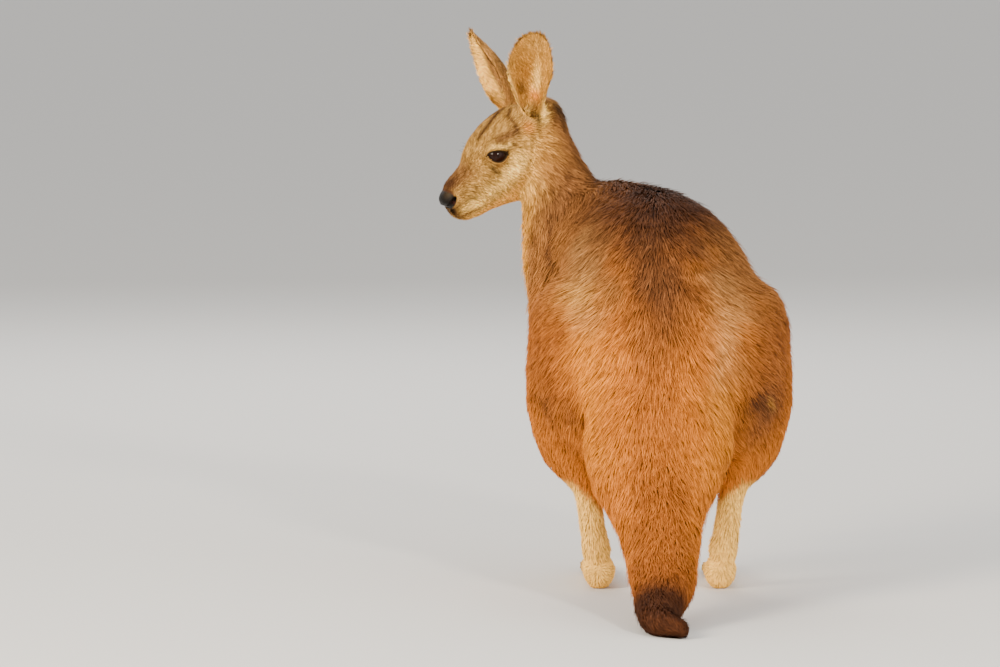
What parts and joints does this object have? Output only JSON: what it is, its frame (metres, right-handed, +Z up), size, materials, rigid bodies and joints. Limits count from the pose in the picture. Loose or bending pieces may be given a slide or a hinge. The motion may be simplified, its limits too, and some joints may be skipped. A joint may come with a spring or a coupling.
{
  "type": "kangaroo",
  "caption": "Still, life-size model of a female wallaroo, a stocky kangaroo, propped on its hind feet and tail with the head turned over its left shoulder.",
  "frame": {"origin": "on the floor, in the middle of the rectangle that the animal covers", "axes": "+Z up, -Y the way that the hips and hind feet point, +Y along the tail, +X the animal's own left"},
  "size_m": [0.4548, 0.84, 0.6996],
  "materials": {
    "coat": "short dense fur, golden brown with a darker grizzled back",
    "face_coat": "very short fur, grey-fawn with pale cheek and lip",
    "ear_coat": "thin short fur, paler at the margins and inside",
    "leg_coat": "short pale cream fur",
    "hand_coat": "short dark brown fur",
    "nose_pad": "fine-grained, slightly moist black skin",
    "eye": "glossy dark brown",
    "claw": "satin black horn"
  },
  "bodies": {
    "root": {"head": "face_coat", "nose": "nose_pad", "eye_left": "eye", "eye_right": "eye", "ear_left": "ear_coat", "ear_right": "ear_coat", "neck": "coat", "torso": "coat", "tail_base": "coat", "tail_middle": "coat", "tail_end": "coat", "thigh_left": "coat", "shank_left": "leg_coat", "foot_left": "leg_coat", "upper_arm_left": "coat", "forearm_left": "coat", "hand_left": "hand_coat", "thigh_right": "coat", "shank_right": "leg_coat", "foot_right": "leg_coat", "upper_arm_right": "coat", "forearm_right": "coat", "hand_right": "hand_coat", "claw_fifth_toe_left": "claw", "claw_fourth_toe_left": "claw", "claw_third_toe_left": "claw", "claw_second_toe_left": "claw", "claw_fifth_toe_right": "claw", "claw_fourth_toe_right": "claw", "claw_third_toe_right": "claw", "claw_second_toe_right": "claw", "claw_first_finger_left": "claw", "claw_second_finger_left": "claw", "claw_third_finger_left": "claw", "claw_fourth_finger_left": "claw", "claw_fifth_finger_left": "claw", "claw_first_finger_right": "claw", "claw_second_finger_right": "claw", "claw_third_finger_right": "claw", "claw_fourth_finger_right": "claw", "claw_fifth_finger_right": "claw"}
  },
  "joints": []
}
